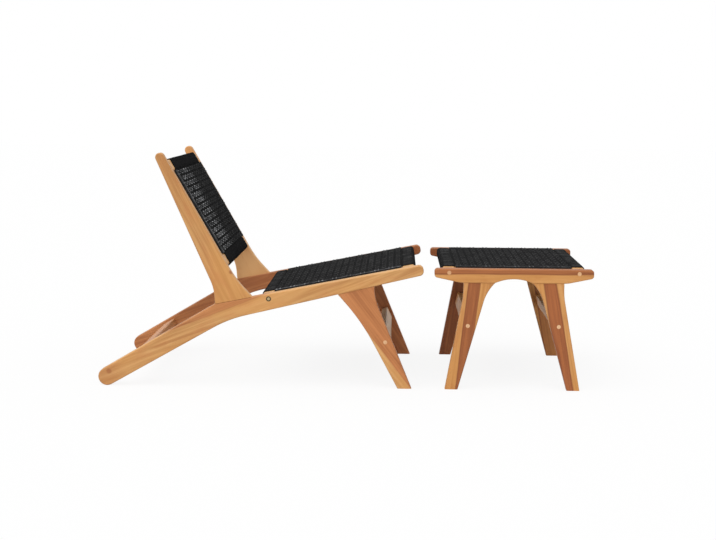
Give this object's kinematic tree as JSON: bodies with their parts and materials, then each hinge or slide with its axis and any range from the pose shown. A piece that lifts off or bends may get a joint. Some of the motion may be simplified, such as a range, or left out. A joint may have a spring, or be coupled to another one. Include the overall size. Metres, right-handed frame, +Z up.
{
  "type": "outdoor chaise longue",
  "caption": "Low teak lounge chair with raked rear legs, splayed front legs and a woven black cord seat and back, with a matching free-standing cord-topped footstool.",
  "frame": {"origin": "on the floor, below the middle of the set's bounding box", "axes": "+X from the chair's back towards the footstool, the way the sitter faces; +Y to the sitter's left; +Z up"},
  "size_m": [1.382, 0.6, 0.6535],
  "materials": {
    "rail_wood": "oiled teak, satin",
    "post_wood": "oiled teak, satin",
    "leg_wood": "oiled teak, reddish, satin",
    "slat_wood": "oiled teak, satin",
    "plug_wood": "pale teak, satin",
    "cord": "twisted synthetic cord, slightly glossy",
    "bolt_metal": "aged, satin",
    "steel": "brushed"
  },
  "bodies": {
    "chair": {"right_side_rail": "rail_wood", "left_side_rail": "rail_wood", "right_back_post": "post_wood", "left_back_post": "post_wood", "right_front_leg": "leg_wood", "left_front_leg": "leg_wood", "front_stretcher": "slat_wood", "rear_stretcher": "slat_wood", "seat_rear_rail": "slat_wood", "seat_front_rail": "slat_wood", "seat_right_batten": "slat_wood", "seat_left_batten": "slat_wood", "back_top_rail": "slat_wood", "back_bottom_rail": "slat_wood", "back_right_batten": "slat_wood", "back_left_batten": "slat_wood", "seat_weave": "cord", "back_weave": "cord", "seat_batten_dowels": "plug_wood", "back_batten_dowels": "plug_wood", "post_dowels": "plug_wood", "leg_dowels": "plug_wood", "seat_rail_dowels": "plug_wood", "back_rail_dowels": "plug_wood", "rear_stretcher_dowels": "plug_wood", "front_stretcher_plugs": "plug_wood", "seat_bolts": "bolt_metal", "barrel_nuts": "steel", "front_stretcher_screws": "steel"},
    "footstool": {"stool_right_rail": "rail_wood", "stool_left_rail": "rail_wood", "stool_right_rear_leg": "leg_wood", "stool_left_rear_leg": "leg_wood", "stool_right_front_leg": "leg_wood", "stool_left_front_leg": "leg_wood", "stool_rear_stretcher": "slat_wood", "stool_front_stretcher": "slat_wood", "stool_rear_rail": "slat_wood", "stool_front_rail": "slat_wood", "stool_right_batten": "slat_wood", "stool_left_batten": "slat_wood", "stool_weave": "cord", "stool_batten_dowels": "plug_wood", "stool_leg_dowels": "plug_wood", "stool_stretcher_plugs": "plug_wood", "stool_rail_plugs": "plug_wood", "stool_stretcher_screws": "steel", "stool_rail_screws": "steel"}
  },
  "joints": [
    {"name": "footstool_slide", "type": "slide", "parent": "chair", "child": "footstool", "axis": [1, 0, 0], "range_m": [-0.028, 0.45]}
  ]
}
